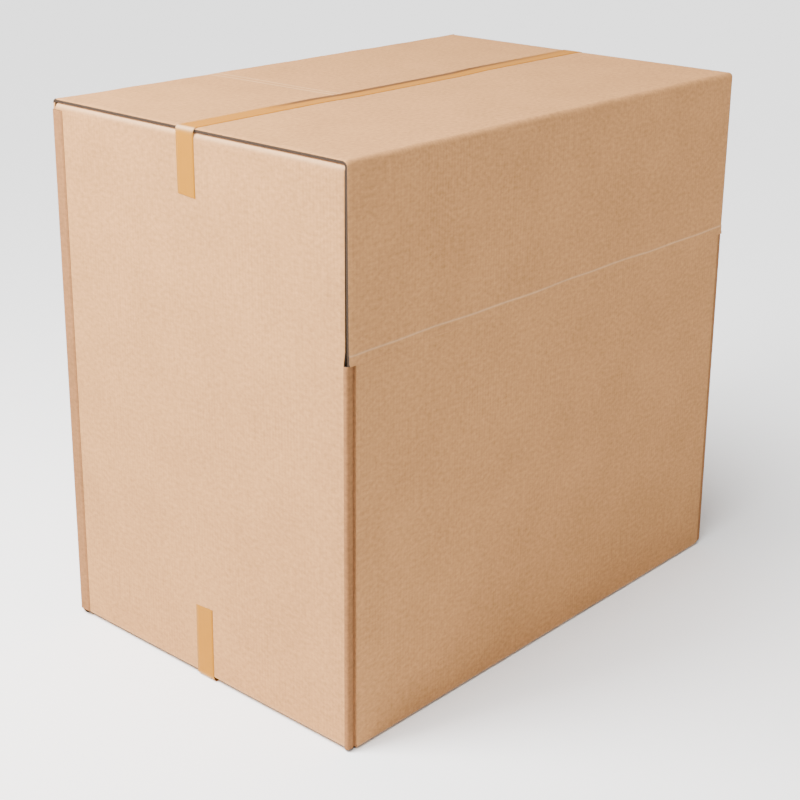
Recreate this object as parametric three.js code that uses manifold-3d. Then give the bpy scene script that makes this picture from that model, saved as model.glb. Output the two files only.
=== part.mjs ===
// A tall corrugated pallet box with a drop-down loading flap in one long side,
// folded from one sheet, closed, and taped along the top and the bottom.
// Millimetres, +Z up. X is the length, Y the width. The origin is on the floor under
// the middle of the box. The loading flap faces -Y and the glued end wall faces -X.

import * as THREE from 'three';
import { mergeVertices } from 'three/addons/utils/BufferGeometryUtils.js';
import Module from 'manifold-3d';

const wasm = await Module();
wasm.setup();

// Outside of the folded board, without tape and glue tab
const boxLong = 1194;
const boxWide = 794;
const boxTall = 1109;

// Double-wall board, and the small gap between layers that lie on each other
const board = 7;
const layerGap = 0.3;

// Rounding of the folds: outer flaps, inner flaps and upright corners
const outerFold = 11;
const innerFold = 15;
const cornerFold = 8;

// Flaps
const innerReach = 400;
const outerEndSet = 3;
const innerSideSet = 3;
const cornerSlot = 2;
const topSeamGap = 3;
const bottomSeamGap = 2;
const topSeamNear = 22;
const topSeamFar = 42;
const bottomSeam = 0;

// Loading flap: height of its crease, and the slits beside it
const hingeTall = 757;
const hingeStep = 1.2;
const hingeBevel = 2.6;
const slitPast = 5;
const slitGap = 1.5;
const slitHead = 1;
const slitFoot = 4.5;

// Double score of the upright corners below the slits
const scoreBand = 14;
const scoreBack = 3.5;
const scoreGroove = 5.5;
const scoreDeep = 2.2;
const scoreRound = 5;

// Glue tab of the rear panel, lapped on the outside of the end wall
const tabWide = 32;
const tabStand = 2.4;
const tabFoot = 12;
const tabHead = 1088;

// Tape
const tapeWide = 48;
const tapeThick = 0.5;
const tapeBend = 5;
const topTapeNear = 7;
const topTapeFar = 26;
const bottomTape = -5;
const topTapeDrop = 128;
const bottomTapeRise = 157;
const tapeEndSlant = 8;

// Faces worked out from the sizes above, centred with tab and tape counted in
const tapeStand = layerGap + tapeThick;
const overallLong = tabStand + boxLong + tapeStand;
const nearFace = -overallLong / 2 + tabStand;
const farFace = overallLong / 2 - tapeStand;
const middle = (nearFace + farFace) / 2;
const front = -boxWide / 2;
const rear = boxWide / 2;
const flapFront = front + hingeStep;
const layer = board + layerGap;
const scoreEnd = scoreBand + scoreGroove;
const slitFloor = hingeTall - slitPast;
const past = 1;

const X = new THREE.Vector3(1, 0, 0);
const Y = new THREE.Vector3(0, 1, 0);
const Z = new THREE.Vector3(0, 0, 1);
const against = (axis) => axis.clone().negate();

// Joining and cutting

function solidOf(geometry) {
  geometry.deleteAttribute('normal');
  geometry.deleteAttribute('uv');
  const merged = mergeVertices(geometry, 1e-4);
  return new wasm.Manifold(new wasm.Mesh({
    numProp: 3,
    vertProperties: merged.attributes.position.array,
    triVerts: Uint32Array.from(merged.index.array),
  }));
}

function geometryOf(solid) {
  const mesh = solid.getMesh();
  const shared = new THREE.BufferGeometry();
  shared.setAttribute('position', new THREE.BufferAttribute(mesh.vertProperties, 3));
  shared.setIndex(new THREE.BufferAttribute(mesh.triVerts, 1));
  const faceted = shared.toNonIndexed();
  faceted.computeVertexNormals();
  return faceted;
}

// Box between two corners
function block(x0, x1, y0, y1, z0, z1) {
  const geometry = new THREE.BoxGeometry(x1 - x0, y1 - y0, z1 - z0);
  geometry.translate((x0 + x1) / 2, (y0 + y1) / 2, (z0 + z1) / 2);
  return solidOf(geometry);
}

// Prism of a plan outline between two heights
function upright(shape, z0, z1) {
  const geometry = new THREE.ExtrudeGeometry(shape, {
    depth: z1 - z0, bevelEnabled: false, curveSegments: 8,
  });
  geometry.translate(0, 0, z0);
  return solidOf(geometry);
}

// Prism whose outline lies across 'right' and 'up', centred on 'corner' along its length
function across(shape, right, up, corner, length) {
  const geometry = new THREE.ExtrudeGeometry(shape, {
    depth: length, bevelEnabled: false, curveSegments: 8,
  });
  geometry.translate(0, 0, -length / 2);
  const along = new THREE.Vector3().crossVectors(right, up);
  const place = new THREE.Matrix4().makeBasis(right, up, along).setPosition(corner);
  return solidOf(geometry.applyMatrix4(place));
}

// Slides a solid sideways in Y in proportion to X, so that its end faces stay square
function skewed(geometry, yNear, yFar) {
  const slope = (yFar - yNear) / (farFace - nearFace);
  const slide = new THREE.Matrix4().set(
    1, 0, 0, 0,
    slope, 1, 0, yNear - slope * nearFace,
    0, 0, 1, 0,
    0, 0, 0, 1,
  );
  return geometry.applyMatrix4(slide);
}

// Upright walls

// Plan outline of the walls below the loading flap, moved inwards by 'inset'. The front
// corners are bent over a double score: a band set back from the panel, then a groove.
function scoredOutline(inset) {
  const x0 = nearFace + inset;
  const x1 = farFace - inset;
  const yBand = front + scoreBack + inset;
  const yPanel = front + inset;
  const yGroove = yBand + scoreDeep;
  const yRear = rear - inset;
  const bandEnd = scoreBand - inset / 2;
  const grooveEnd = scoreEnd + inset / 2;
  const rFront = Math.max(scoreRound - inset, 1);
  const rRear = Math.max(cornerFold - inset, 1);
  const outline = new THREE.Shape();
  outline.moveTo(x0, yBand + rFront);
  outline.absarc(x0 + rFront, yBand + rFront, rFront, Math.PI, 1.5 * Math.PI, false);
  outline.lineTo(nearFace + bandEnd, yBand);
  outline.quadraticCurveTo(nearFace + bandEnd + scoreGroove / 4, yGroove,
    nearFace + (bandEnd + grooveEnd) / 2, yGroove);
  outline.quadraticCurveTo(nearFace + grooveEnd - scoreGroove / 8, yGroove,
    nearFace + grooveEnd, yPanel);
  outline.lineTo(farFace - grooveEnd, yPanel);
  outline.quadraticCurveTo(farFace - grooveEnd + scoreGroove / 8, yGroove,
    farFace - (bandEnd + grooveEnd) / 2, yGroove);
  outline.quadraticCurveTo(farFace - bandEnd - scoreGroove / 4, yGroove,
    farFace - bandEnd, yBand);
  outline.lineTo(x1 - rFront, yBand);
  outline.absarc(x1 - rFront, yBand + rFront, rFront, 1.5 * Math.PI, 2 * Math.PI, false);
  outline.lineTo(x1, yRear - rRear);
  outline.absarc(x1 - rRear, yRear - rRear, rRear, 0, 0.5 * Math.PI, false);
  outline.lineTo(x0 + rRear, yRear);
  outline.absarc(x0 + rRear, yRear - rRear, rRear, 0.5 * Math.PI, Math.PI, false);
  return outline;
}

// Plan outline of the walls beside the loading flap, whose ends are cut square
function slitOutline(inset) {
  const x0 = nearFace + inset;
  const x1 = farFace - inset;
  const yRear = rear - inset;
  const rRear = Math.max(cornerFold - inset, 1);
  const outline = new THREE.Shape();
  outline.moveTo(x0, flapFront + inset);
  outline.lineTo(x1, flapFront + inset);
  outline.lineTo(x1, yRear - rRear);
  outline.absarc(x1 - rRear, yRear - rRear, rRear, 0, 0.5 * Math.PI, false);
  outline.lineTo(x0 + rRear, yRear);
  outline.absarc(x0 + rRear, yRear - rRear, rRear, 0.5 * Math.PI, Math.PI, false);
  return outline;
}

function ring(outlineAt, z0, z1) {
  const shape = outlineAt(0);
  shape.holes.push(outlineAt(board));
  return upright(shape, z0, z1);
}

// Small step under the loading flap where the crease stands out from it
function hingeCrease() {
  const step = new THREE.Shape();
  step.moveTo(0, -past);
  step.lineTo(0, 0.2 * hingeBevel);
  step.quadraticCurveTo(0, 0.6 * hingeBevel, hingeStep + past, hingeBevel);
  step.lineTo(hingeStep + past, -past);
  const length = boxLong - 2 * scoreEnd;
  return across(step, Y, Z, new THREE.Vector3(middle, front, hingeTall), length);
}

// Slits down both ends of the loading flap, widening towards the crease
function slit(face, inwards) {
  const head = boxTall + past;
  const taper = new THREE.Shape();
  taper.moveTo(-past, slitFloor);
  taper.lineTo(slitFoot, slitFloor);
  taper.lineTo(slitHead, head);
  taper.lineTo(-past, head);
  const depth = past + board + slitGap;
  const corner = new THREE.Vector3(face, flapFront - past + depth / 2, 0);
  const wedge = across(taper, inwards, Z, corner, depth);
  const end = face + inwards.x * (board + past);
  const start = face - inwards.x * past;
  const behind = flapFront + board;
  const gap = block(Math.min(start, end), Math.max(start, end), behind, behind + slitGap,
    slitFloor, head);
  return wedge.add(gap);
}

// The rear panel's tab goes round the corner and is glued on the end wall
function glueTab() {
  const outside = nearFace - tabStand;
  const bite = board / 2;
  const plan = new THREE.Shape();
  plan.moveTo(outside, rear - tabWide);
  plan.lineTo(nearFace + bite, rear - tabWide);
  plan.lineTo(nearFace + bite, rear - bite);
  plan.lineTo(nearFace + cornerFold + bite, rear - bite);
  plan.lineTo(nearFace + cornerFold + bite, rear);
  plan.lineTo(outside + cornerFold, rear);
  plan.absarc(outside + cornerFold, rear - cornerFold, cornerFold,
    0.5 * Math.PI, Math.PI, false);
  return upright(plan, tabFoot, tabHead);
}

// Flaps

// One fold seen from its end: the wall's edge, the bend, and the flap
function foldedProfile(reach, bend, stub) {
  const profile = new THREE.Shape();
  const inner = Math.max(bend - board, 1);
  profile.moveTo(0, -stub);
  profile.lineTo(0, -bend);
  profile.absarc(bend, -bend, bend, Math.PI, 0.5 * Math.PI, true);
  profile.lineTo(reach, 0);
  profile.lineTo(reach, -board);
  profile.lineTo(board + inner, -board);
  profile.absarc(board + inner, -board - inner, inner, 0.5 * Math.PI, Math.PI, false);
  profile.lineTo(board, -stub);
  return profile;
}

// Folds one flap over: clears the wall where it bends, with a slot at both its ends
function foldFlap(walls, flap) {
  const { inwards, up, edge, length, reach, bend } = flap;
  const stub = bend + board;
  const notch = new THREE.Shape();
  notch.moveTo(-tabStand - past, -bend);
  notch.lineTo(bend + board, -bend);
  notch.lineTo(bend + board, layer + past);
  notch.lineTo(-tabStand - past, layer + past);
  const clear = across(notch, inwards, up, edge, length + 2 * cornerSlot);
  const folded = across(foldedProfile(reach, bend, stub), inwards, up, edge, length);
  return walls.subtract(clear).add(folded);
}

function foldedFlaps(walls) {
  const innerLong = boxWide - 2 * (layer + innerSideSet);
  const topLong = boxLong - 2 * outerEndSet;
  const bottomFrontLong = boxLong - 2 * (scoreEnd + cornerSlot);
  const bottomRearLong = boxLong - 2 * (cornerFold + cornerSlot);
  const topFrontReach = boxWide / 2 + Math.max(topSeamNear, topSeamFar);
  const bottomReach = boxWide / 2 - bottomSeamGap / 2;
  const innerTop = boxTall - layer;
  const at = (x, y, z) => new THREE.Vector3(x, y, z);
  const down = against(Z);
  const inner = { length: innerLong, reach: innerReach, bend: innerFold };
  const flaps = [
    { inwards: X, up: Z, edge: at(nearFace, 0, innerTop), ...inner },
    { inwards: against(X), up: Z, edge: at(farFace, 0, innerTop), ...inner },
    { inwards: X, up: down, edge: at(nearFace, 0, layer), ...inner },
    { inwards: against(X), up: down, edge: at(farFace, 0, layer), ...inner },
    { inwards: Y, up: Z, edge: at(middle, flapFront, boxTall),
      length: topLong, reach: topFrontReach, bend: outerFold },
    { inwards: against(Y), up: Z, edge: at(middle, rear, boxTall),
      length: topLong, reach: boxWide / 2, bend: outerFold },
    { inwards: Y, up: down, edge: at(middle, front, 0),
      length: bottomFrontLong, reach: bottomReach + bottomSeam, bend: outerFold },
    { inwards: against(Y), up: down, edge: at(middle, rear, 0),
      length: bottomRearLong, reach: bottomReach - bottomSeam, bend: outerFold },
  ];
  return flaps.reduce(foldFlap, walls);
}

// The two outer top flaps meet a little off the middle and not quite square
function topSeam() {
  const slot = new THREE.BoxGeometry(overallLong + 2 * past, topSeamGap, board + layerGap);
  slot.translate(middle, 0, boxTall - board / 2);
  return solidOf(skewed(slot, topSeamNear, topSeamFar));
}

// The bottom tape is pressed into the board, so that the box stands on its flaps
function bottomTapePress() {
  const half = tapeWide / 2 + layerGap;
  return block(nearFace - past, farFace + past, bottomTape - half, bottomTape + half,
    -past, tapeStand);
}

function foldedBlank() {
  const columnFoot = 2;
  const columnHead = boxTall - board - past;
  const walls = ring(scoredOutline, columnFoot, hingeTall)
    .add(ring(slitOutline, hingeTall, columnHead))
    .add(hingeCrease())
    .add(glueTab())
    .subtract(slit(nearFace, X))
    .subtract(slit(farFace, against(X)));
  return foldedFlaps(walls)
    .subtract(topSeam())
    .subtract(bottomTapePress());
}

// Tape

// Strip seen from the side: one long run with a leg down each end wall
function tapeProfile(leg) {
  const x0 = nearFace - tapeStand;
  const x1 = farFace + tapeStand;
  const inner = tapeBend - tapeThick;
  const strip = new THREE.Shape();
  strip.moveTo(x0, -leg);
  strip.lineTo(x0, -tapeBend);
  strip.absarc(x0 + tapeBend, -tapeBend, tapeBend, Math.PI, 0.5 * Math.PI, true);
  strip.lineTo(x1 - tapeBend, 0);
  strip.absarc(x1 - tapeBend, -tapeBend, tapeBend, 0.5 * Math.PI, 0, true);
  strip.lineTo(x1, -leg);
  strip.lineTo(x1 - tapeThick, -leg);
  strip.lineTo(x1 - tapeThick, -tapeBend);
  strip.absarc(x1 - tapeBend, -tapeBend, inner, 0, 0.5 * Math.PI, false);
  strip.lineTo(x0 + tapeBend, -tapeThick);
  strip.absarc(x0 + tapeBend, -tapeBend, inner, 0.5 * Math.PI, Math.PI, false);
  strip.lineTo(x0 + tapeThick, -leg);
  return strip;
}

// Tape torn off by hand is not cut square: a wedge comes off both ends
function slantCut(leg, up) {
  const half = tapeWide / 2 + past;
  const wedge = new THREE.Shape();
  wedge.moveTo(-half, -leg - past);
  wedge.lineTo(half, -leg - past);
  wedge.lineTo(half, -leg + tapeEndSlant);
  wedge.lineTo(-half, -leg);
  const corner = new THREE.Vector3(middle, 0, 0);
  return across(wedge, against(Y), up, corner, overallLong + 4 * past);
}

function tapeStrip(leg, up) {
  const corner = new THREE.Vector3(0, 0, 0);
  return across(tapeProfile(leg), X, up, corner, tapeWide).subtract(slantCut(leg, up));
}

function topTape() {
  const geometry = geometryOf(tapeStrip(topTapeDrop, Z));
  geometry.translate(0, 0, boxTall + tapeStand);
  return skewed(geometry, topTapeNear, topTapeFar);
}

function bottomTapeStrip() {
  const geometry = geometryOf(tapeStrip(bottomTapeRise, against(Z)));
  return geometry.translate(0, bottomTape, 0);
}

// Object

const kraft = new THREE.MeshStandardMaterial({
  color: 0xc9a683, roughness: 0.85, metalness: 0,
});
const amberFilm = new THREE.MeshStandardMaterial({
  color: 0xdcae6f, roughness: 0.3, metalness: 0,
});

function named(name, geometry, material) {
  const mesh = new THREE.Mesh(geometry, material);
  mesh.name = name;
  return mesh;
}

const group = new THREE.Group();
group.add(named('folded_blank', geometryOf(foldedBlank()), kraft));
group.add(named('top_tape', topTape(), amberFilm));
group.add(named('bottom_tape', bottomTapeStrip(), amberFilm.clone()));

export default group;
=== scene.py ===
import math

import bpy
import numpy as np
from mathutils import Matrix, Vector


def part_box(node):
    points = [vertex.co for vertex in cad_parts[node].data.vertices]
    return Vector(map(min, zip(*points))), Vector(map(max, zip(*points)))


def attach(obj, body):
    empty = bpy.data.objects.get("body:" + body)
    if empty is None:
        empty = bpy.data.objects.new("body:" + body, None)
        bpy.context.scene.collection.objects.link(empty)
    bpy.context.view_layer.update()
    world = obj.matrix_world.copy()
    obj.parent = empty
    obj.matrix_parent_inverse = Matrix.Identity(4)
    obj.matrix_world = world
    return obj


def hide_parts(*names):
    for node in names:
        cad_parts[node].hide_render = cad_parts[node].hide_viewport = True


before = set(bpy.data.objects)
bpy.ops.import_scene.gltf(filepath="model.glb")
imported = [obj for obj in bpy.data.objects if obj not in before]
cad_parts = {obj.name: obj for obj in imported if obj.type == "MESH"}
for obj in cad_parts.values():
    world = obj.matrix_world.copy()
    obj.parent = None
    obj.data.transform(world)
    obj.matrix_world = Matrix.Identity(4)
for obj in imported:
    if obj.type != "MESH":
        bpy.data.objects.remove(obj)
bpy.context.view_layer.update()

mm = 0.001
print("frame loaded:", sorted(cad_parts))

# Board: sizes of the folded sheet in millimetres. The hinge's height, step and bevel and
# the folds of the end walls follow the photograph, and the rest follows the CAD blank.

board = dict(
    thick=7.0, layerGap=0.3, outerFold=11.0, innerFold=12.0, lowerFold=8.0, cornerFold=8.0,
    outerCrease=5.0, innerCrease=6.0, lowerCrease=4.0, foldSlack=1.0,
    innerReach=400.0, endSet=3.0, sideSet=3.0, slot=2.0,
    seamNear=22.0, seamFar=42.0, topSeamGap=3.0, tightGap=0.6, tightTo=255.0, openFrom=330.0,
    bottomSeamGap=2.0,
    hinge=771.0, hingeStep=0.9, hingeBevel=1.8, hingeOver=1.5, hingeUnder=2.5, hingeCrease=1.8,
    slitPast=19.0, slitGap=1.5, slitHead=1.0, slitFoot=4.5, slitEnd=0.4, slitEase=12.0,
    band=14.0, bandBack=3.5, bandRound=5.0, bandEase=1.5,
    groove=5.5, grooveDeep=2.2, grooveSlope=0.45, grooveRound=1.2, grooveWall=0.6,
    tabWide=32.0, tabStand=2.4, tabThick=4.5, tabFoot=12.0, tabHead=1088.0, tabWrap=6.0,
    tabRound=6.0, tabTaper=5.0, tabEdge=0.3,
    jointLeg=3.0, columnFoot=2.0, columnHead=1.0, crush=1.8, crushWide=4.0, crushEase=8.0,
)

# How far the board gives way, and the places and reaches of that, in millimetres

give = dict(
    topFrom=40.0, topTo=12.0, heldFrom=150.0, heldTo=260.0, sagNear=40.0, sagFar=330.0,
    sag=0.5, sagUnheld=1.9, foldWide=60.0, foldDip=0.6,
    pressed=0.3, pressedNear=50.0, pressedFar=90.0, pressedLow=15.0, pressedHigh=40.0,
    lean=3.5, leanTall=45.0, foldFade=90.0, skin=30.0,
    driftLong=1.1, driftShort=0.7, driftFade=60.0, driftTall=60.0, driftFull=8.0, driftSkin=10.0,
    draw=0.7, drawMean=1.5, drawFade=160.0, footFade=110.0, headFade=90.0, hingeFade=70.0,
    endDraw=0.6, endMean=1.2, endFade=140.0, endRest=60.0, endFoot=180.0, endHead=150.0,
)

# Steps between points in millimetres, and the turn of one step round a fold in radians

steps = dict(wall=24.0, corner=3.0, column=40.0, tape=12.0, least=0.8, turn=0.14, leastArc=5)

blankLow, blankHigh = [np.array(corner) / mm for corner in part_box("folded_blank")]
x0 = blankLow[0] + board["tabStand"]
x1 = blankHigh[0]
front, rear = blankLow[1], blankHigh[1]
top = blankHigh[2]
layer = board["thick"] + board["layerGap"]
outerFold, hinge = board["outerFold"], board["hinge"]
slitFloor = hinge - board["slitPast"]
panelInset = board["band"] + board["groove"]
unitReach = 400.0  # the top flaps are swept this long, and then stretched to the seam


def leftOf(angle):
    # unit vector a quarter turn to the left of a heading
    return np.stack([-np.sin(angle), np.cos(angle)], axis=-1)


def spaced(length, step):
    # places along a straight, closer together near both its ends
    near = np.array([0, 1.5, 3, 6, 11, 18])
    even = np.arange(step, length, step)
    places = np.concatenate([near, even, length - near])
    places = np.unique(np.round(np.clip(places, 0, length), 2))
    keep = np.concatenate([[True], np.diff(places) > steps["least"]])
    keep[-1] = True
    return places[keep]


def roundedTrack(corners, step):
    # A line through the corners (a, b, radius, crease width), each rounded by its radius.
    # Gives the points, the unit normal on the left of the line, the length so far, and
    # how strongly each point shows a crease: a bell over the length on both its sides.
    places = np.array([c[:2] for c in corners], float)
    radii = [c[2] if len(c) > 2 else 0.0 for c in corners]
    widths = [c[3] if len(c) > 3 else 0.0 for c in corners]
    legs = np.diff(places, axis=0)
    headings = np.unwrap(np.arctan2(legs[:, 1], legs[:, 0]))
    points, normals, marks = [], [], []
    begin = places[0]
    for k, heading in enumerate(headings):
        along = np.array([math.cos(heading), math.sin(heading)])
        last = k == len(headings) - 1
        turn = 0.0 if last else headings[k + 1] - heading
        cut = 0.0 if last else radii[k + 1] * math.tan(abs(turn) / 2)
        end = places[k + 1] - along * cut
        length = np.linalg.norm(end - begin)
        run = spaced(length, step)[:, None]
        points.append(begin + along * run)
        normals.append(np.repeat(leftOf(np.array([heading])), len(run), axis=0))
        if last:
            break
        if abs(turn) < 1e-6:
            marks.append(0)
            begin = end
            continue
        side = math.copysign(1.0, turn)
        centre = end + side * radii[k + 1] * leftOf(np.array(heading))
        number = max(steps["leastArc"], int(abs(turn) / steps["turn"]) + 2)
        arc = np.linspace(heading, headings[k + 1], number)[1:-1]
        points.append(centre - side * radii[k + 1] * leftOf(arc))
        normals.append(leftOf(arc))
        marks.append(sum(len(p) for p in points) - len(arc) // 2 - 1)
        begin = centre - side * radii[k + 1] * leftOf(np.array(headings[k + 1]))
    points, normals = np.concatenate(points), np.concatenate(normals)
    lengths = np.concatenate([[0], np.cumsum(np.linalg.norm(np.diff(points, axis=0), axis=1))])
    crease = np.zeros(len(lengths))
    for mark, wide in zip(marks, widths[1:]):
        if wide:
            crease = np.maximum(crease, np.exp(-((lengths - lengths[mark]) / wide) ** 2))
    apart = np.concatenate([[True], np.diff(lengths) > 1e-6])
    return points[apart], normals[apart], lengths[apart], crease[apart]


def smooth(low, high, value):
    # 0 at low, 1 at high, an eased slope between; low may be the greater of the two
    share = np.clip((value - low) / (high - low), 0, 1)
    return share * share * (3 - 2 * share)


def amid(low, high, value, fade):
    # 0 at both ends of a stretch, 1 from fade inside them
    return smooth(0, fade, value - low) * smooth(0, fade, high - value)


def seamAt(x):
    # the top seam lies a little off the middle and not quite square
    return board["seamNear"] + (board["seamFar"] - board["seamNear"]) * (x - x0) / (x1 - x0)


def sinkTop(x, y, z):
    # The top flaps sink towards the seam, by more where no inner flap carries them, and
    # along their folds by foldDip * (1 + sin(x / 71 + 0.9) * sin(x / 29)).
    onTop = smooth(top - give["topFrom"], top - give["topTo"], z)
    unheld = 1 - smooth(give["heldFrom"], give["heldTo"], abs(x))
    nearSeam = 1 - smooth(give["sagNear"], give["sagFar"], abs(y - seamAt(x)))
    nearFold = smooth(give["foldWide"], 0, y - front) + smooth(give["foldWide"], 0, rear - y)
    uneven = give["foldDip"] * (1 + np.sin(x / 71.0 + 0.9) * np.sin(x / 29.0))
    z = z - onTop * nearSeam * (give["sag"] + give["sagUnheld"] * unheld)
    return z - onTop * nearFold * uneven * amid(x0, x1, x, give["foldFade"])


def pressFoot(y, z):
    # the underside is pressed in along the bottom tape
    middle = smooth(give["pressedFar"], give["pressedNear"], abs(y))
    return z + give["pressed"] * middle * smooth(give["pressedHigh"], give["pressedLow"], z)


def leanIn(x, y, z):
    # the long walls lean in under their top folds by lean * (1 - depth / leanTall)^2
    lean = give["lean"] * np.clip((z - top) / give["leanTall"] + 1, 0, 1) ** 2
    lean = lean * amid(x0, x1, x, give["foldFade"])
    return y + lean * (smooth(give["skin"], 0, y - front) - smooth(give["skin"], 0, rear - y))


def drawLong(x, y, z):
    # The hinge line drifts up and down by driftLong * sin(x / 88) + driftShort *
    # sin(x / 31 + 1), and the long walls draw in by low waves that die out at their edges
    # and at the hinge: sin(x / 137 + 0.4) * sin(z / 171 + 0.8) + sin(x / 61 + z / 83) / 2.
    hold = amid(x0, x1, x, give["drawFade"]) * smooth(0, give["footFade"], z)
    hold = hold * smooth(0, give["headFade"], top - z)
    calm = smooth(0, give["hingeFade"], abs(z - hinge))
    nearHinge = smooth(give["driftTall"], give["driftFull"], abs(z - hinge))
    nearHinge = nearHinge * smooth(give["skin"], give["driftSkin"], y - front)
    drift = give["driftLong"] * np.sin(x / 88.0) + give["driftShort"] * np.sin(x / 31.0 + 1.0)
    z = z + nearHinge * amid(x0, x1, x, give["driftFade"]) * drift
    wave = np.sin(x / 137.0 + 0.4) * np.sin(z / 171.0 + 0.8) + 0.5 * np.sin(x / 61.0 + z / 83.0)
    onFrontWall = smooth(give["skin"], 0, y - front)
    y = y + onFrontWall * hold * calm * give["draw"] * (give["drawMean"] + wave)
    onRearWall = smooth(give["skin"], 0, rear - y)
    y = y - onRearWall * hold * give["draw"] * (give["drawMean"] - wave)
    return y, z


def drawEnds(x, y, z):
    # the end walls draw in by sin(y / 101) * sin(z / 143 + 0.5), added to their mean draw
    hold = amid(front, rear, y, give["endFade"]) * smooth(give["endRest"], give["endFoot"], z)
    hold = hold * smooth(give["endRest"], give["endHead"], top - z)
    ripple = np.sin(y / 101.0) * np.sin(z / 143.0 + 0.5)
    depth = hold * give["endDraw"] * (give["endMean"] + ripple)
    return x + (smooth(give["skin"], 0, x - x0) - smooth(give["skin"], 0, x1 - x)) * depth


def relax(points):
    # board gives way, in the order top, foot, long walls and end walls
    x, y, z = points[..., 0], points[..., 1], points[..., 2]
    z = pressFoot(y, sinkTop(x, y, z))
    y = leanIn(x, y, z)
    y, z = drawLong(x, y, z)
    return np.stack([drawEnds(x, y, z), y, z], axis=-1)


def closedSheet(outer, inner, across, along, crease, tone):
    # Thick sheet between two grids of points. Faces of kind 0 are liner, kind 1 are cut
    # across the flutes and kind 2 along them. Map: lengths on the flat sheet, or along and
    # through it on the cut faces.
    rows, columns = outer.shape[:2]
    number = np.arange(rows * columns).reshape(rows, columns)
    lower = number + rows * columns

    def quads(a, b, c, d):
        return np.stack([a, b, c, d], axis=-1).reshape(-1, 4)

    flat = np.stack([across, along], axis=-1)
    ring = [flat[:-1, :-1], flat[1:, :-1], flat[1:, 1:], flat[:-1, 1:]]
    faces = [quads(number[:-1, :-1], number[1:, :-1], number[1:, 1:], number[:-1, 1:]),
             quads(lower[:-1, :-1], lower[:-1, 1:], lower[1:, 1:], lower[1:, :-1])]
    maps = [np.stack(ring, axis=-2).reshape(-1, 4, 2),
            np.stack([ring[0], ring[3], ring[2], ring[1]], axis=-2).reshape(-1, 4, 2)]
    kinds = [0] * (len(faces[0]) + len(faces[1]))
    sides = [
        (number[:, 0], lower[:, 0], across[:, 0], 1, False),
        (number[:, -1], lower[:, -1], across[:, -1], 1, True),
        (number[0], lower[0], along[0], 2, True),
        (number[-1], lower[-1], along[-1], 2, False),
    ]
    for upperLip, lowerLip, values, kind, turned in sides:
        face = quads(upperLip[:-1], lowerLip[:-1], lowerLip[1:], upperLip[1:])
        begin, end = values[:-1], values[1:]
        none, full = np.zeros_like(begin), np.full_like(begin, board["thick"])
        lip = np.stack([np.stack([begin, none], -1), np.stack([begin, full], -1),
                        np.stack([end, full], -1), np.stack([end, none], -1)], axis=-2)
        faces.append(face[:, ::-1] if turned else face)
        maps.append(lip[:, ::-1] if turned else lip)
        kinds += [kind] * len(face)
    points = np.concatenate([outer.reshape(-1, 3), inner.reshape(-1, 3)])
    faces, maps = np.concatenate(faces), np.concatenate(maps)
    a, b, c, d = (points[faces[:, k]] for k in range(4))
    volume = np.einsum("ij,ij->", a, np.cross(b, c)) + np.einsum("ij,ij->", a, np.cross(c, d))
    if volume < 0:
        faces, maps = faces[:, ::-1], maps[:, ::-1]
    # marks per point: the crease mark, and the tone mark, which selects painted shade
    marks = np.tile(np.stack([crease, tone], axis=-1).reshape(-1, 2), (2, 1))
    return points, faces, maps, np.array(kinds), marks


def wallSheet(corners, limits, place, cuts, reach=None):
    # A wall with its flaps: the rounded track swept sideways between limits(a, b). Where an
    # edge is cut free, its outer skin is crushed by crush * exp(-(distance / crushWide)^2).
    points, normals, lengths, crease = roundedTrack(corners, steps["wall"])
    a, b = points[:, 0], points[:, 1]
    low, high = limits(a, b)
    widest = float(np.max(high - low))
    share = spaced(widest, steps["wall"])[:, None] / widest
    across = low + (high - low) * share
    cutLow, cutHigh = cuts(a, b)
    crushed = np.maximum(cutLow * np.exp(-((across - low) / board["crushWide"]) ** 2),
                         cutHigh * np.exp(-((high - across) / board["crushWide"]) ** 2))
    crushed = crushed * board["crush"]
    a = np.broadcast_to(a, across.shape)
    if reach is not None:
        a = reach(across, a, b)
    b = np.broadcast_to(b, across.shape)
    outer = place(across, a + normals[:, 0] * crushed, b + normals[:, 1] * crushed)
    inner = place(across, a + normals[:, 0] * board["thick"], b + normals[:, 1] * board["thick"])
    along = np.broadcast_to(lengths, across.shape)
    crease = np.broadcast_to(crease, across.shape)
    return closedSheet(relax(outer), relax(inner), across, along, crease,
                       np.zeros(across.shape))


def uprightSheet(corners, low, high, thick, tone, x, mirrored=False):
    # A strip round an upright corner: a rounded track in plan, carried up from low to high
    # and drawn in at its foot on a quarter round of the outer fold's radius
    points, normals, lengths, crease = roundedTrack(corners, steps["corner"])
    heights = low + spaced(high - low, steps["column"])
    shape = (len(points), len(heights))
    z = np.broadcast_to(heights, shape)
    drop = np.clip(outerFold - heights, 0, outerFold)
    drawn = outerFold - np.sqrt(outerFold ** 2 - drop ** 2)

    def place(plan):
        px = plan[:, :1] + drawn
        py = plan[:, 1:] - drawn * np.sign(plan[:, 1:])
        return np.stack([x - px if mirrored else x + px, py, z], axis=-1)

    across = np.broadcast_to(lengths[:, None], shape)
    inner = place(points + normals * thick)
    return closedSheet(relax(place(points)), relax(inner), across, z,
                       np.broadcast_to(crease[:, None], shape), np.full(shape, tone))


def frontLimits(a, b):
    # ends of the loading-flap side: cut flaps, slit flap, scored panel, bottom flap
    flap = np.where(a > outerFold, board["endSet"], 0)
    rise = (b - slitFloor) / (top - slitFloor)
    slit = board["slitFoot"] + (board["slitHead"] - board["slitFoot"]) * rise
    inset = np.where(b > slitFloor, np.maximum(slit, flap), panelInset)
    inset = np.where(b < outerFold, panelInset + board["slot"], inset)
    return x0 + inset, x1 - inset


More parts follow.
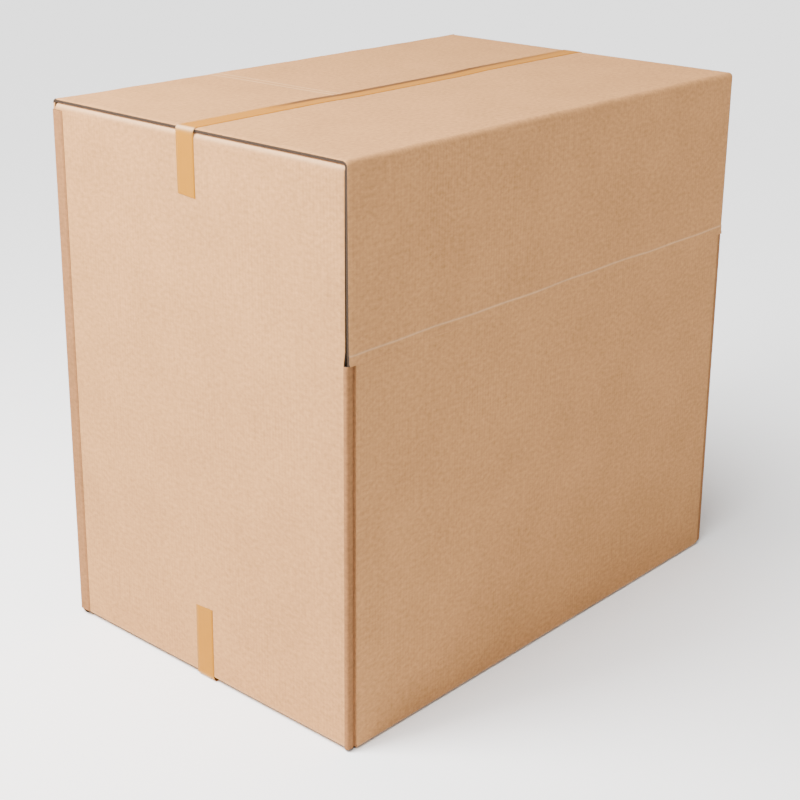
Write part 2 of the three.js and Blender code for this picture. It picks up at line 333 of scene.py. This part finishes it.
def rearLimits(a, b):
    # ends of the rear side: top flap, wall between the folded corners, bottom flap
    corner = board["cornerFold"] + board["jointLeg"]
    inset = np.where(b > top - outerFold, board["endSet"], corner)
    onBottom = (a > outerFold) & (b < outerFold)
    inset = np.where(onBottom, board["cornerFold"] + board["slot"], inset)
    return x0 + inset, x1 - inset


def endLimits(a, b):
    # ends of an end wall: along the flaps, beside the slit and at the corners
    flap = board["sideSet"] + layer
    beside = board["hingeStep"] + board["thick"] + board["slitGap"]
    joined = board["bandBack"] + board["bandRound"] + board["jointLeg"]
    corner = board["cornerFold"] + board["jointLeg"]
    onFlap = a > board["lowerFold"] - board["foldSlack"]
    low = joined + (beside - joined) * smooth(slitFloor, slitFloor + board["slitEase"], b)
    return front + np.where(onFlap, flap, low), rear - np.where(onFlap, flap, corner)


def seamReach(sign, wall):
    # stretches the top flap so that its edge follows the seam, whose gap is tight towards
    # the near end
    def reach(x, a, b):
        opened = smooth(board["tightTo"], board["openFrom"], x - x0)
        gap = board["tightGap"] + (board["topSeamGap"] - board["tightGap"]) * opened
        wanted = sign * (seamAt(x) - wall) - gap / 2
        onFlap = (b > top - board["foldSlack"]) & (a > outerFold)
        stretch = (wanted - outerFold) / (unitReach - outerFold)
        return np.where(onFlap, outerFold + (a - outerFold) * stretch, a)

    return reach


def onFront(x, a, b):
    # like the next three: from a place along a wall, a depth into the box and a height
    return np.stack([x, front + a, b], axis=-1)


def onRear(x, a, b):
    return np.stack([x, rear - a, b], axis=-1)


def onNear(y, a, b):
    return np.stack([x0 + a, y, b], axis=-1)


def onFar(y, a, b):
    return np.stack([x1 - a, y, b], axis=-1)


def frontCuts(a, b):
    # like the next two: 1 where each side edge of a sheet is cut free, 0 where it is joined
    slit = smooth(slitFloor, slitFloor + board["crushEase"], b)
    flap = slit + (a > outerFold) * (b < outerFold)
    return flap, flap


def rearCuts(a, b):
    flap = 1.0 * (a > outerFold)
    return flap, flap


def endCuts(a, b):
    flap = 1.0 * (a > board["lowerFold"])
    slit = smooth(slitFloor, slitFloor + board["crushEase"], b)
    return np.maximum(flap, slit), flap


def wallSheets():
    # tracks from the top flap's edge down the wall to the bottom flap's edge
    hingeStep, crease = board["hingeStep"], board["outerCrease"]
    bottomReach = (rear - front) / 2 - board["bottomSeamGap"] / 2
    frontTrack = [
        (unitReach, top), (hingeStep, top, outerFold),
        (hingeStep, hinge + board["hingeBevel"], board["hingeOver"]),
        (0, hinge, board["hingeUnder"], board["hingeCrease"]),
        (0, slitFloor), (0, slitFloor - board["slitEnd"]),
        (0, 0, outerFold, crease), (bottomReach, 0),
    ]
    rearTrack = [
        (unitReach, top), (0, top, outerFold), (0, 0, outerFold, crease), (bottomReach, 0),
    ]
    endTrack = [
        (board["innerReach"], top - layer),
        (0, top - layer, board["innerFold"], board["innerCrease"]),
        (0, layer, board["lowerFold"], board["lowerCrease"]), (board["innerReach"], layer),
    ]
    return [
        wallSheet(frontTrack, frontLimits, onFront, frontCuts, seamReach(1, front)),
        wallSheet(rearTrack, rearLimits, onRear, rearCuts, seamReach(-1, rear)),
        wallSheet(endTrack, endLimits, onNear, endCuts),
        wallSheet(endTrack, endLimits, onFar, endCuts),
    ]


def cornerSheets():
    # scored corners beside the loading flap, folded corners at the rear, and the glue tab
    bandY = front + board["bandBack"]
    bandRound, joint = board["bandRound"], board["jointLeg"]
    grooveY = bandY + board["grooveDeep"]
    wall = board["grooveWall"]
    scored = [
        (0, bandY + bandRound + joint), (0, bandY, bandRound),
        (board["band"], bandY, board["bandEase"]),
        (board["band"] + board["grooveSlope"] * board["groove"], grooveY, board["grooveRound"]),
        (panelInset - wall, grooveY, wall), (panelInset, front),
    ]
    fold = board["cornerFold"]
    rearCorner = [(fold + joint, rear), (0, rear, fold), (0, rear - fold - joint)]
    tabEnd, stand = rear - board["tabWide"], -board["tabStand"]
    tab = [(fold + board["tabWrap"], rear), (stand, rear, fold),
           (stand, tabEnd + board["tabTaper"], board["tabRound"]), (-board["tabEdge"], tabEnd)]
    foot, thick = board["columnFoot"], board["thick"]
    head = top - thick - board["columnHead"]
    # tone 1.0 marks the scored strips and the glue tab, whose liner gets painted shade
    return [
        uprightSheet(scored, foot, slitFloor, thick, 1.0, x0),
        uprightSheet(scored, foot, slitFloor, thick, 1.0, x1, mirrored=True),
        uprightSheet(rearCorner, foot, head, thick, 0.0, x0),
        uprightSheet(rearCorner, foot, head, thick, 0.0, x1, mirrored=True),
        uprightSheet(tab, board["tabFoot"], board["tabHead"], board["tabThick"], 1.0, x0),
    ]


def meshObject(name, sheets, materials):
    # joins closed sheets into one mesh, with the flat-sheet map, face kinds, and point marks for
    # the crease colour and painted highlights (crease) and for painted shade (tone)
    points, faces, maps, kinds, marks, count = [], [], [], [], [], 0
    for sheet in sheets:
        points.append(sheet[0])
        faces.append(sheet[1] + count)
        maps.append(sheet[2])
        kinds.append(sheet[3])
        marks.append(sheet[4])
        count += len(sheet[0])
    points, faces, maps = np.concatenate(points), np.concatenate(faces), np.concatenate(maps)
    kinds, marks = np.concatenate(kinds), np.concatenate(marks)
    mesh = bpy.data.meshes.new(name)
    mesh.from_pydata((points * mm).tolist(), [], faces.tolist())
    layerMap = mesh.uv_layers.new(name="sheetMap")
    layerMap.data.foreach_set("uv", (maps * mm).astype(np.float32).ravel())
    mesh.polygons.foreach_set("material_index", kinds.astype(np.int32))
    mesh.polygons.foreach_set("use_smooth", kinds == 0)
    for label, column in (("crease", 0), ("tone", 1)):
        attribute = mesh.attributes.new(label, "FLOAT", "POINT")
        attribute.data.foreach_set("value", marks[:, column].astype(np.float32))
    mesh.update()
    made = bpy.data.objects.new(name, mesh)
    bpy.context.scene.collection.objects.link(made)
    for material in materials:
        mesh.materials.append(material)
    return made


# Materials

def socketGroup(name, inputs, outputs):
    # a node group with these sockets, and the nodes at both its ends
    group = bpy.data.node_groups.new(name, "ShaderNodeTree")
    for label, kind, value in inputs:
        socket = group.interface.new_socket(label, in_out="INPUT", socket_type=kind)
        if value is not None:
            socket.default_value = value
    for label, kind in outputs:
        group.interface.new_socket(label, in_out="OUTPUT", socket_type=kind)
    source = group.nodes.new("NodeGroupInput")
    sink = group.nodes.new("NodeGroupOutput")
    return group, source, sink


def wire(tree):
    # small helpers that make and link nodes in one tree
    def calc(operation, *values, clamp=False):
        node = tree.nodes.new("ShaderNodeMath")
        node.operation = operation
        node.use_clamp = clamp
        for socket, value in zip(node.inputs, values):
            if isinstance(value, (int, float)):
                socket.default_value = value
            else:
                tree.links.new(value, socket)
        return node.outputs[0]

    def noise(vector, grain, scale=1.0, detail=3.0, rough=0.55):
        # noise on a vector that is stretched by the grain
        stretch = tree.nodes.new("ShaderNodeMapping")
        stretch.inputs["Scale"].default_value = grain
        tree.links.new(vector, stretch.inputs["Vector"])
        node = tree.nodes.new("ShaderNodeTexNoise")
        node.inputs["Scale"].default_value = scale
        node.inputs["Detail"].default_value = detail
        node.inputs["Roughness"].default_value = rough
        tree.links.new(stretch.outputs[0], node.inputs["Vector"])
        return node.outputs["Fac"]

    def mix(factor, a, b, blend="MIX"):
        node = tree.nodes.new("ShaderNodeMix")
        node.data_type = "RGBA"
        node.blend_type = blend
        for label, value in (("Factor", factor), ("A", a), ("B", b)):
            socket = [s for s in node.inputs if s.name == label and s.enabled][0]
            if isinstance(value, (int, float)):
                socket.default_value = value
            elif isinstance(value, tuple):
                socket.default_value = (*value, 1.0)
            else:
                tree.links.new(value, socket)
        return [s for s in node.outputs if s.enabled][0]

    return calc, noise, mix


def split(tree, vector):
    # the X, Y and Z of a vector
    node = tree.nodes.new("ShaderNodeSeparateXYZ")
    tree.links.new(vector, node.inputs[0])
    return [node.outputs[label] for label in "XYZ"]


def fromMap(tree):
    node = tree.nodes.new("ShaderNodeUVMap")
    node.uv_map = "sheetMap"
    return node.outputs[0]


def fromPoints(tree, label):
    node = tree.nodes.new("ShaderNodeAttribute")
    node.attribute_name = label
    return node.outputs["Fac"]


def addBump(tree, shader, height, strength, reach):
    bump = tree.nodes.new("ShaderNodeBump")
    bump.inputs["Strength"].default_value = strength
    bump.inputs["Distance"].default_value = reach * mm
    tree.links.new(height, bump.inputs["Height"])
    tree.links.new(bump.outputs[0], shader.inputs["Normal"])


# Liner: sizes in millimetres. A grain stretches the noise across, along and through the
# sheet, and an imprint is its distance from the near end at the rear edge and at the seam.

kraft = dict(
    # the crease colour is partly rubbed, crushed liner and partly painted sheen on the folds
    color=(0.43, 0.214, 0.084), creaseColor=(0.66, 0.44, 0.25), creaseGain=0.45,
    # the band tint is painted shade on the scored corner strips and the glue tab
    bandShadeTint=(0.60, 0.56, 0.58), flutes=1.0, bump=0.22, bumpReach=0.6, specular=0.05,
    cloudGrain=(1, 1, 1), cloudScale=9.0, cloudGain=0.26,
    mottleGrain=(45, 70, 45), mottleScale=2.0, mottleGain=0.76, mottleHeight=0.25,
    fibreGrain=(260, 900, 260), fibreScale=1.6, fibreGain=0.50, fibreHeight=0.18,
    fleckGrain=(420, 700, 420), fleckAbove=0.70, fleckGain=-0.12,
    flutePitch=7.8, fluteGain=0.12, wobbleGrain=(14, 3, 14), wobble=6.0,
    patchGrain=(7, 4, 7), patchAbove=0.30, roughness=0.66, roughnessGain=0.2,
    # the imprints are painted highlights along two ridges
    imprints=((390.0, 415.0), (411.0, 433.0)), imprintHalf=3.6, imprintGain=0.5,
    imprintDeep=6.0,
)

# Cut edge: sizes in millimetres. A medium is its pitch, the depth of its middle and its
# swing to either side.

# Painted shade: the cut edge's paper colour is far darker than the liner, for the shade in the
# slits and gaps where the edges show, and the hollows between the flutes are near black, for the
# shade inside them
edge = dict(
    color=(0.075, 0.045, 0.026), hollowShade=(0.018, 0.011, 0.007),
    skinHalf=0.6, middle=3.0, middleHalf=0.3, mediumHalf=0.34,
    outerMedium=(6.5, 1.6, 1.2), innerMedium=(7.8, 5.0, 1.7),
    wornGrain=(180, 500, 180), wornLeast=0.55, wornGain=0.8, openWave=1.0, sideWave=0.25,
    bump=0.6, bumpReach=1.0, roughness=0.85, specular=0.2,
)


def linerGroup():
    # Kraft liner: cloudy tone, short fibres, dark flecks, and flutes telegraphing through
    group, source, sink = socketGroup(
        "kraftLiner",
        [("Sheet", "NodeSocketVector", None), ("Place", "NodeSocketVector", None),
         ("Color", "NodeSocketColor", (*kraft["color"], 1.0)),
         ("Flutes", "NodeSocketFloat", kraft["flutes"])],
        [("Color", "NodeSocketColor"), ("Height", "NodeSocketFloat"),
         ("Roughness", "NodeSocketFloat")])
    calc, noise, _ = wire(group)
    sheet = source.outputs["Sheet"]
    clouds = noise(source.outputs["Place"], kraft["cloudGrain"], kraft["cloudScale"], 4.0)
    mottle = noise(sheet, kraft["mottleGrain"], kraft["mottleScale"], 4.0)
    fibres = noise(sheet, kraft["fibreGrain"], kraft["fibreScale"], 4.0, 0.7)
    flecks = noise(sheet, kraft["fleckGrain"], detail=1.0)
    wobble = noise(sheet, kraft["wobbleGrain"], detail=2.0)
    wobble = calc("MULTIPLY", wobble, kraft["wobble"] * mm)
    across = calc("ADD", split(group, sheet)[0], wobble)
    flute = calc("SINE", calc("MULTIPLY", across, 2 * math.pi / (kraft["flutePitch"] * mm)))
    patch = calc("SUBTRACT", noise(sheet, kraft["patchGrain"]), kraft["patchAbove"], clamp=True)
    ridges = calc("MULTIPLY", calc("MULTIPLY", flute, patch), source.outputs["Flutes"])
    tone = calc("ADD", calc("MULTIPLY", calc("SUBTRACT", clouds, 0.5), kraft["cloudGain"]),
                calc("MULTIPLY", calc("SUBTRACT", mottle, 0.5), kraft["mottleGain"]))
    tone = calc("ADD", tone, calc("MULTIPLY", calc("SUBTRACT", fibres, 0.5), kraft["fibreGain"]))
    tone = calc("ADD", tone, calc("MULTIPLY", ridges, kraft["fluteGain"]))
    fleck = calc("GREATER_THAN", flecks, kraft["fleckAbove"])
    tone = calc("ADD", tone, calc("MULTIPLY", fleck, kraft["fleckGain"]))
    shade = group.nodes.new("ShaderNodeVectorMath")
    shade.operation = "SCALE"
    group.links.new(source.outputs["Color"], shade.inputs[0])
    group.links.new(calc("ADD", tone, 1.0), shade.inputs["Scale"])
    group.links.new(shade.outputs[0], sink.inputs["Color"])
    height = calc("ADD", ridges, calc("MULTIPLY", fibres, kraft["fibreHeight"]))
    height = calc("ADD", height, calc("MULTIPLY", mottle, kraft["mottleHeight"]))
    group.links.new(height, sink.inputs["Height"])
    rough = calc("ADD", kraft["roughness"], calc("MULTIPLY", mottle, kraft["roughnessGain"]))
    group.links.new(rough, sink.inputs["Roughness"])
    return group


def fluteEdgeGroup():
    # Cut edge of double-wall board: three liners with waves (or plain webs) between them
    group, source, sink = socketGroup(
        "fluteEdge",
        [("Edge", "NodeSocketVector", None), ("Wave", "NodeSocketFloat", edge["openWave"]),
         ("Paper", "NodeSocketColor", (*edge["color"], 1.0)),
         ("HollowShade", "NodeSocketColor", (*edge["hollowShade"], 1.0))],
        [("Color", "NodeSocketColor"), ("Height", "NodeSocketFloat")])
    calc, noise, mix = wire(group)
    along, deep, _ = split(group, source.outputs["Edge"])

    def line(middle, half):
        away = calc("ABSOLUTE", calc("SUBTRACT", deep, middle * mm))
        return calc("LESS_THAN", away, half * mm)

    def medium(pitch, middle, swing):
        ride = calc("SINE", calc("MULTIPLY", along, 2 * math.pi / (pitch * mm)))
        ride = calc("MULTIPLY", calc("MULTIPLY", ride, swing * mm), source.outputs["Wave"])
        away = calc("ABSOLUTE", calc("SUBTRACT", calc("SUBTRACT", deep, middle * mm), ride))
        return calc("LESS_THAN", away, edge["mediumHalf"] * mm)

    paper = calc("MAXIMUM", line(0.0, edge["skinHalf"]), line(edge["middle"], edge["middleHalf"]))
    paper = calc("MAXIMUM", paper, line(board["thick"], edge["skinHalf"]))
    paper = calc("MAXIMUM", paper, medium(*edge["outerMedium"]))
    paper = calc("MAXIMUM", paper, medium(*edge["innerMedium"]))
    worn = calc("MULTIPLY", noise(source.outputs["Edge"], edge["wornGrain"]), edge["wornGain"])
    shown = calc("MULTIPLY", paper, calc("ADD", edge["wornLeast"], worn), clamp=True)
    # painted shade: between the paper lines the cut edge takes the near-black hollow colour
    group.links.new(mix(shown, source.outputs["HollowShade"], source.outputs["Paper"]),
                    sink.inputs["Color"])
    group.links.new(shown, sink.inputs["Height"])
    return group


liner, fluteEdge = linerGroup(), fluteEdgeGroup()


def newMaterial(name):
    material = bpy.data.materials.new(name)
    material.use_nodes = True
    tree = material.node_tree
    shader = tree.nodes["Principled BSDF"]
    return material, tree, shader


def imprintMask(tree, place):
    # Two faint ridges across the rear top flap, where the inner flap ends under it, painted as
    # lighter lines (painted highlight, no relief): how near x comes to a line that runs from the
    # rear edge to the seam
    calc, _, _ = wire(tree)
    x, y, z = split(tree, place)
    wide = (rear - board["seamNear"]) * mm
    run = calc("DIVIDE", calc("SUBTRACT", rear * mm, y), wide)
    total = 0.0
    for atRear, atSeam in kraft["imprints"]:
        line = calc("ADD", (x0 + atRear) * mm, calc("MULTIPLY", run, (atSeam - atRear) * mm))
        away = calc("ABSOLUTE", calc("SUBTRACT", x, line))
        near = calc("SUBTRACT", 1.0, calc("DIVIDE", away, kraft["imprintHalf"] * mm),
                    clamp=True)
        total = calc("ADD", total, near)
    onFlap = calc("MULTIPLY", calc("GREATER_THAN", z, (top - kraft["imprintDeep"]) * mm),
                  calc("LESS_THAN", run, 1.0))
    return calc("MULTIPLY", total, onFlap)


def kraftMaterial():
    material, tree, shader = newMaterial("kraft_liner")
    calc, _, mix = wire(tree)
    place = tree.nodes.new("ShaderNodeTexCoord").outputs["Object"]
    paper = tree.nodes.new("ShaderNodeGroup")
    paper.node_tree = liner
    tree.links.new(fromMap(tree), paper.inputs["Sheet"])
    tree.links.new(place, paper.inputs["Place"])
    # Crease colour: the folds and scores are lightened, partly as rubbed, crushed liner and
    # partly as a painted sheen where the rounded folds catch light
    rubbedAndSheen = calc("MULTIPLY", fromPoints(tree, "crease"), kraft["creaseGain"])
    color = mix(rubbedAndSheen, paper.outputs["Color"], kraft["creaseColor"])
    # Painted highlight: the two imprint ridges are only lighter colour, in the crease colour, for
    # the light caught along them
    ridge = calc("MULTIPLY", imprintMask(tree, place), kraft["imprintGain"])
    color = mix(ridge, color, kraft["creaseColor"])
    # Painted shade: where the tone mark is 1 (the scored corner strips and the glue tab) the
    # liner is multiplied darker by the band tint, for the shade on those strips beside the
    # corners
    bandShaded = mix(1.0, color, kraft["bandShadeTint"], "MULTIPLY")
    color = mix(fromPoints(tree, "tone"), color, bandShaded)
    tree.links.new(color, shader.inputs["Base Color"])
    tree.links.new(paper.outputs["Roughness"], shader.inputs["Roughness"])
    addBump(tree, shader, paper.outputs["Height"], kraft["bump"], kraft["bumpReach"])
    shader.inputs["Specular IOR Level"].default_value = kraft["specular"]
    return material


def edgeMaterial(name, wave):
    material, tree, shader = newMaterial(name)
    cut = tree.nodes.new("ShaderNodeGroup")
    cut.node_tree = fluteEdge
    cut.inputs["Wave"].default_value = wave
    tree.links.new(fromMap(tree), cut.inputs["Edge"])
    tree.links.new(cut.outputs["Color"], shader.inputs["Base Color"])
    addBump(tree, shader, cut.outputs["Height"], edge["bump"], edge["bumpReach"])
    shader.inputs["Roughness"].default_value = edge["roughness"]
    shader.inputs["Specular IOR Level"].default_value = edge["specular"]
    return material


boardMaterials = [kraftMaterial(), edgeMaterial("flute_edge_open", edge["openWave"]),
                  edgeMaterial("flute_edge_side", edge["sideWave"])]
blank = meshObject("corrugated_blank", wallSheets() + cornerSheets(), boardMaterials)
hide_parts("folded_blank")
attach(blank, "root")
print("board made:", len(blank.data.polygons), "faces")

# Tape: thin amber film laid along the seam and down the end walls, sizes in millimetres

tape = dict(
    wide=48.0, film=0.12, lift=0.12, topBend=7.0, bottomBend=9.0, topDrop=128.0,
    bottomRise=157.0, slant=3.2, topNear=7.0, topFar=26.0, bottom=-5.0, bottomLevel=-0.16,
    rows=9, tornDeep=0.35, tornTurn=70.0,
    # the top colour is a copy of the amber for the lit top of the tape: painted light
    color=(0.47, 0.194, 0.012), topLitColor=(0.48, 0.183, 0.003), deepGain=0.8, alpha=0.78,
    roughness=0.35, specular=0.06, drawnGrain=(8, 160, 8), cloudGrain=(30, 60, 30),
    bump=0.25, bumpReach=0.4,
    # the seam colour is painted shade in the seam's gap under the film
    seamShadeColor=(0.13, 0.040, 0.001), seamShade=0.95, seamHalf=12.0, seamSharp=1.6,
    seamFrom=210.0, seamFadeIn=90.0, seamPast=60.0, seamFadeOut=420.0, topDeep=4.0,
    # the pale colour over the bends is a painted highlight on the film over the edges
    bendHighlightWide=5.0, bendHighlightGain=0.5, bendHighlightColor=(0.80, 0.60, 0.40),
)


def tapeSheet(nearY, farY, level, up, leg, bend):
    # A film track along the length with a leg down each end wall, swept over its width.
    # The cut ends are slanted, and torn by tornDeep * sin(tornTurn * share of the width).
    film, bendHighlight = tape["film"], tape["bendHighlightWide"]
    outside = tape["lift"] + film
    low, high = x0 - outside, x1 + outside
    corners = [(low, -leg), (low, 0, bend, bendHighlight), (high, 0, bend, bendHighlight), (high, -leg)]
    # the crease marks at the two bends carry the painted highlight of the film over the edges
    points, normals, lengths, bendHighlights = roundedTrack(corners, steps["tape"])
    share = np.linspace(-0.5, 0.5, tape["rows"])[:, None]
    shape = (tape["rows"], len(points))
    x = np.broadcast_to(points[:, 0], shape)
    torn = tape["tornDeep"] * np.sin(share * tape["tornTurn"]) - share * tape["slant"]
    drop = np.where(points[:, 1] < -bend, points[:, 1] * (1 + torn / leg), points[:, 1])
    y = share * tape["wide"] + nearY + (farY - nearY) * (x - x0) / (x1 - x0)

    def place(px, pz):
        return np.stack([px, y, level + up * pz], axis=-1)

    inner = place(x + normals[:, 0] * film, drop + normals[:, 1] * film)
    across = np.broadcast_to(lengths, shape)
    along = np.broadcast_to(share * tape["wide"], shape)
    return closedSheet(relax(place(x, drop)), relax(inner), across, along,
                       np.broadcast_to(bendHighlights, shape), np.zeros(shape))


def seamShadeMask(tree, x, y, onTop):
    # Painted shade in the seam's gap under the top tape, where the film dips into it: how dark it
    # shows. It is full near the seam's line, fades in from seamFrom past the near end and fades
    # out towards seamPast beyond the far end.
    calc, _, _ = wire(tree)
    slope = (board["seamFar"] - board["seamNear"]) / (x1 - x0)
    seam = calc("ADD", calc("MULTIPLY", x, slope), (board["seamNear"] - slope * x0) * mm)
    away = calc("ABSOLUTE", calc("SUBTRACT", y, seam))
    away = calc("DIVIDE", away, tape["seamHalf"] / tape["seamSharp"] * mm)
    sunkShade = calc("SUBTRACT", tape["seamSharp"], away, clamp=True)
    opened = calc("DIVIDE", calc("SUBTRACT", x, (x0 + tape["seamFrom"]) * mm),
                  tape["seamFadeIn"] * mm, clamp=True)
    closing = calc("DIVIDE", calc("SUBTRACT", (x1 + tape["seamPast"]) * mm, x),
                   tape["seamFadeOut"] * mm, clamp=True)
    sunkShade = calc("MULTIPLY", sunkShade, calc("MULTIPLY", opened, closing))
    return calc("MULTIPLY", sunkShade, calc("MULTIPLY", onTop, tape["seamShade"]))


def tapeMaterial():
    material, tree, shader = newMaterial("amber_film")
    calc, noise, mix = wire(tree)
    sheet = fromMap(tree)
    drawn = noise(sheet, tape["drawnGrain"])
    cloudy = noise(sheet, tape["cloudGrain"], detail=4.0)
    shade = calc("MULTIPLY", calc("ADD", drawn, cloudy), 0.5)
    color = mix(shade, tuple(tape["deepGain"] * c for c in tape["color"]), tape["color"])
    x, y, z = split(tree, tree.nodes.new("ShaderNodeTexCoord").outputs["Object"])
    # Painted light: the film on the top takes its own copy of the amber, for how the light falls
    # on the top
    onTop = calc("GREATER_THAN", z, (top - tape["topDeep"]) * mm)
    color = mix(onTop, color, tape["topLitColor"])
    # Painted shade: the film darkens along the seam's gap
    color = mix(seamShadeMask(tree, x, y, onTop), color, tape["seamShadeColor"])
    # Painted highlight: the film is paler over the bends at the box's edges, for the glare where
    # it wraps over them
    bendHighlight = calc("MULTIPLY", fromPoints(tree, "crease"), tape["bendHighlightGain"])
    color = mix(bendHighlight, color, tape["bendHighlightColor"])
    tree.links.new(color, shader.inputs["Base Color"])
    addBump(tree, shader, drawn, tape["bump"], tape["bumpReach"])
    shader.inputs["Roughness"].default_value = tape["roughness"]
    shader.inputs["Alpha"].default_value = tape["alpha"]
    shader.inputs["Specular IOR Level"].default_value = tape["specular"]
    return material


amber = tapeMaterial()
topLevel = top + tape["lift"] + tape["film"]
for name, node, sheet in (
    ("top_film", "top_tape", tapeSheet(
        tape["topNear"], tape["topFar"], topLevel, 1, tape["topDrop"], tape["topBend"])),
    ("bottom_film", "bottom_tape", tapeSheet(
        tape["bottom"], tape["bottom"], tape["bottomLevel"], -1, tape["bottomRise"],
        tape["bottomBend"])),
):
    strip = meshObject(name, [sheet], [amber, amber, amber])
    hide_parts(node)
    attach(strip, "root")
print("tape made")

# Stage: pale floor, soft light and the photograph's camera, in metres and degrees

stage = dict(
    floorColor=(0.98, 0.98, 0.98), floorSize=60.0, floorRoughness=0.9, floorSpecular=0.1,
    world=(1.0, 1.0, 1.0), worldStrength=0.5,
    bandStrength=2.1, bandTall=0.45, bandTurn=0.6, bandGain=0.8,
    sunFrom=(-0.44, 0.04, 0.895), sunStrength=6.0, sunAngle=40.0,
    keyPlace=(-1.9, 0.6, 2.5), keyAim=(0.0, 0.0, 0.55), keySize=1.2, keyPower=178.0,
)


def buildFloor():
    half = stage["floorSize"] / 2
    mesh = bpy.data.meshes.new("floor")
    corners = [(-half, -half, 0), (half, -half, 0), (half, half, 0), (-half, half, 0)]
    mesh.from_pydata(corners, [], [(0, 1, 2, 3)])
    floor = bpy.data.objects.new("floor", mesh)
    bpy.context.scene.collection.objects.link(floor)
    material, _, shader = newMaterial("pale_floor")
    shader.inputs["Base Color"].default_value = (*stage["floorColor"], 1.0)
    shader.inputs["Roughness"].default_value = stage["floorRoughness"]
    shader.inputs["Specular IOR Level"].default_value = stage["floorSpecular"]
    mesh.materials.append(material)


def addLight(name, kind, facing):
    data = bpy.data.lights.new(name, kind)
    light = bpy.data.objects.new(name, data)
    light.rotation_euler = facing.to_track_quat("-Z", "Y").to_euler()
    bpy.context.scene.collection.objects.link(light)
    return light, data


def buildLight():
    # a softbox beyond the near end of the box, and a wide soft light from above
    facing = Vector(stage["keyAim"]) - Vector(stage["keyPlace"])
    light, data = addLight("key_softbox", "AREA", facing)
    light.location = stage["keyPlace"]
    light.visible_camera = False
    data.shape = "SQUARE"
    data.size = stage["keySize"]
    data.energy = stage["keyPower"]
    _, data = addLight("soft_sky", "SUN", -Vector(stage["sunFrom"]))
    data.energy = stage["sunStrength"]
    data.angle = math.radians(stage["sunAngle"])


def buildWorld():
    # dim all round, with a bright low band towards the back left that meets the floor
    world = bpy.data.worlds.new("studio")
    world.use_nodes = True
    tree = world.node_tree
    calc, _, _ = wire(tree)
    x, y, z = split(tree, tree.nodes.new("ShaderNodeTexCoord").outputs["Generated"])
    low = calc("SUBTRACT", 1.0, calc("DIVIDE", calc("ABSOLUTE", z), stage["bandTall"]),
               clamp=True)
    back = calc("ADD", calc("SUBTRACT", y, x), stage["bandTurn"])
    back = calc("MULTIPLY", back, stage["bandGain"], clamp=True)
    glow = calc("MULTIPLY", calc("MULTIPLY", low, back), stage["bandStrength"])
    backdrop = tree.nodes["Background"]
    backdrop.inputs["Color"].default_value = (*stage["world"], 1.0)
    tree.links.new(calc("ADD", stage["worldStrength"], glow), backdrop.inputs["Strength"])
    bpy.context.scene.world = world


camera = dict(
    place=(-2.4582, -2.1860, 1.6960), heading=41.94, pitch=17.81, roll=0.46,
    focalPixels=1625.8, framePixels=800.0, sensor=36.0, shiftY=-0.12, clipEnd=200.0,
)


def buildCamera():
    heading, pitch, roll = (math.radians(camera[k]) for k in ("heading", "pitch", "roll"))
    look = Vector((math.cos(heading) * math.cos(pitch), math.sin(heading) * math.cos(pitch),
                   -math.sin(pitch)))
    right = Vector((math.sin(heading), -math.cos(heading), 0))
    up = right.cross(look)
    right, up = (right * math.cos(roll) + up * math.sin(roll),
                 up * math.cos(roll) - right * math.sin(roll))
    data = bpy.data.cameras.new("photo_camera")
    data.sensor_width = camera["sensor"]
    data.lens = camera["focalPixels"] / camera["framePixels"] * camera["sensor"]
    data.shift_y = camera["shiftY"]
    data.clip_end = camera["clipEnd"]
    made = bpy.data.objects.new("photo_camera", data)
    turn = Matrix((right, up, -look)).transposed().to_4x4()
    made.matrix_world = Matrix.Translation(camera["place"]) @ turn
    bpy.context.scene.collection.objects.link(made)
    bpy.context.scene.camera = made


buildFloor()
buildLight()
buildWorld()
buildCamera()
print("stage made")
